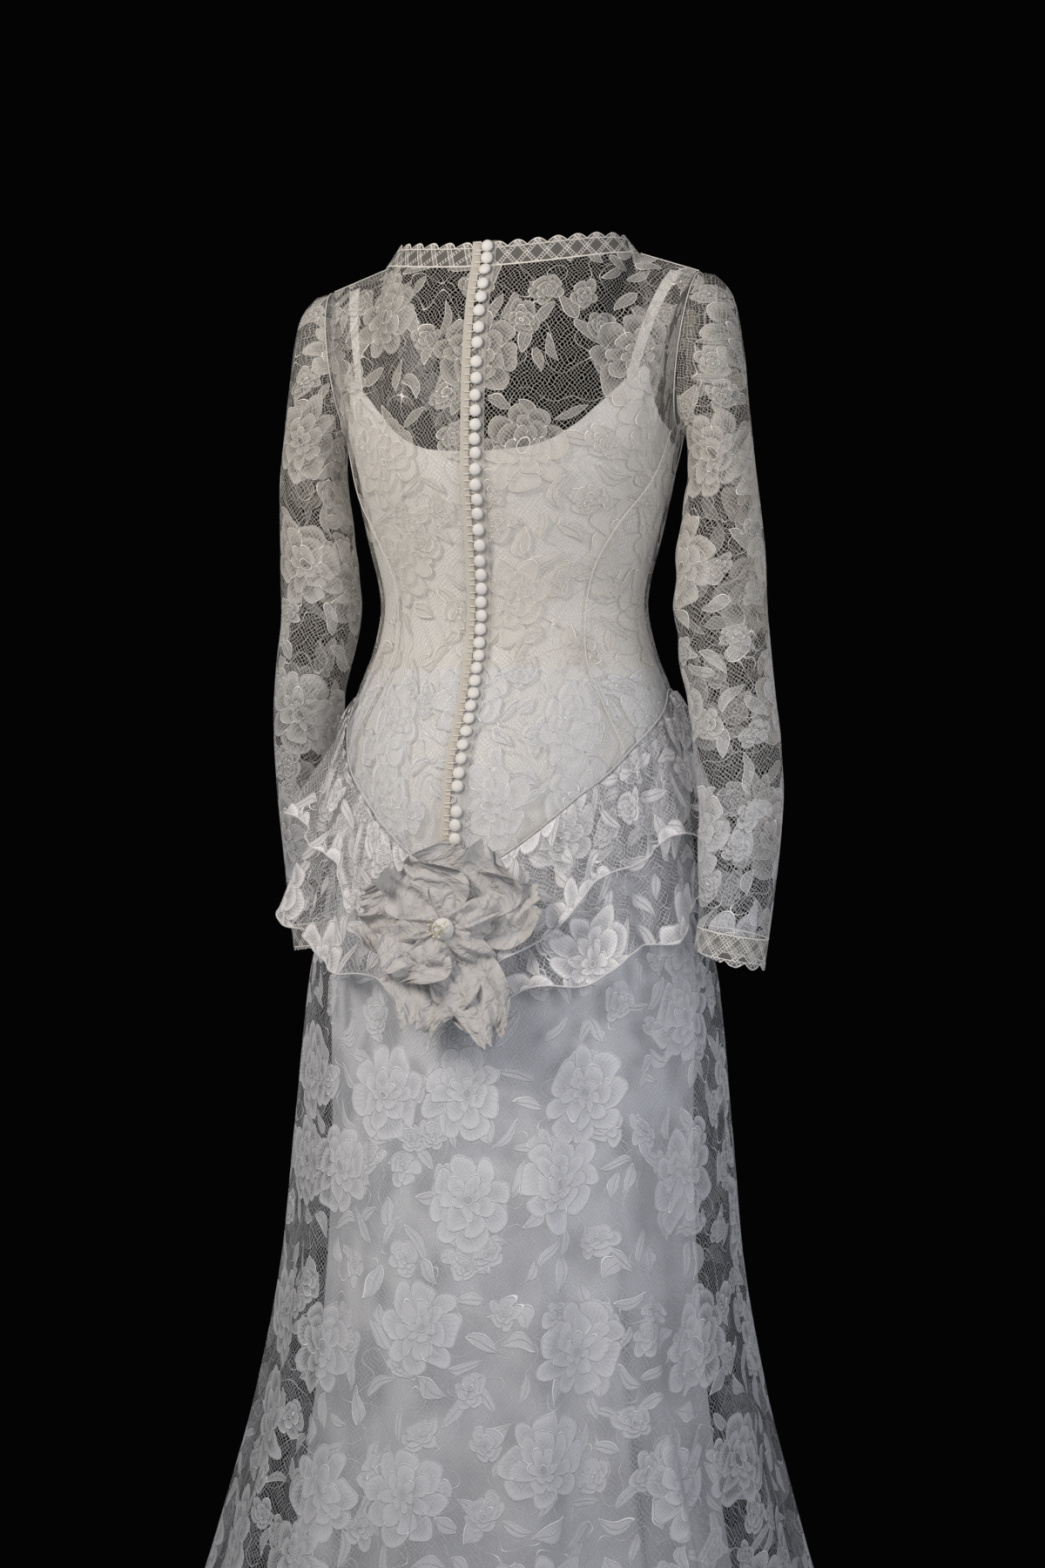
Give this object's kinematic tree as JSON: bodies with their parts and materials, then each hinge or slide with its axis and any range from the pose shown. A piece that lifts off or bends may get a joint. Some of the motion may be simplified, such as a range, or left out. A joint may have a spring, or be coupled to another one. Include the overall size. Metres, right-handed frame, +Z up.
{
  "type": "wedding dress",
  "caption": "Long-sleeved ivory floral lace wedding dress, worn shape: buttoned back, ruffled peplum, organza flower, flared skirt over a slip",
  "frame": {"origin": "Middle of the shoulder line, halfway between the two shoulder points, where the dress is held up", "axes": "+Z up, -Y out of the buttoned back of the dress, +X towards the wearer's right"},
  "size_m": [0.6872, 0.6581, 1.4412],
  "materials": {
    "lace": "warm ivory floral lace on an even net, matte",
    "lace_skirt": "cool white floral lace on an even net, matte",
    "slip": "opaque ivory lining cloth with a soft sheen",
    "button": "ivory cloth covering with a soft sheen",
    "trim": "ivory corded lattice edging, matte",
    "organza": "greige sheer organza, matte"
  },
  "bodies": {
    "root": {"back_centre_left": "lace", "back_centre_right": "lace", "back_side_left": "lace", "back_side_right": "lace", "button_stand": "trim", "buttons_01": "button", "buttons_02": "button", "buttons_03": "button", "buttons_04": "button", "buttons_05": "button", "buttons_06": "button", "buttons_07": "button", "buttons_08": "button", "buttons_09": "button", "buttons_10": "button", "buttons_11": "button", "buttons_12": "button", "buttons_13": "button", "buttons_14": "button", "cuff_edging_left": "trim", "cuff_edging_right": "trim", "flower_centre": "organza", "front_centre": "lace", "front_side_left": "lace", "front_side_right": "lace", "loop_placket": "trim", "neck_edging_back_left": "trim", "neck_edging_back_right": "trim", "neck_edging_front": "trim", "peplum_lower_left": "lace_skirt", "peplum_lower_right": "lace_skirt", "peplum_upper_left": "lace_skirt", "peplum_upper_right": "lace_skirt", "petal_bottom": "organza", "petal_left": "organza", "petal_lower_left": "organza", "petal_right": "organza", "petal_tail": "organza", "petal_top": "organza", "petal_upper_left": "organza", "skirt_back_left": "lace_skirt", "skirt_back_right": "lace_skirt", "skirt_front": "lace_skirt", "sleeve_left": "lace", "sleeve_right": "lace", "slip_back": "slip", "slip_front": "slip", "slip_skirt_back": "slip", "slip_skirt_front": "slip", "strap_left": "slip", "strap_right": "slip"}
  },
  "joints": []
}
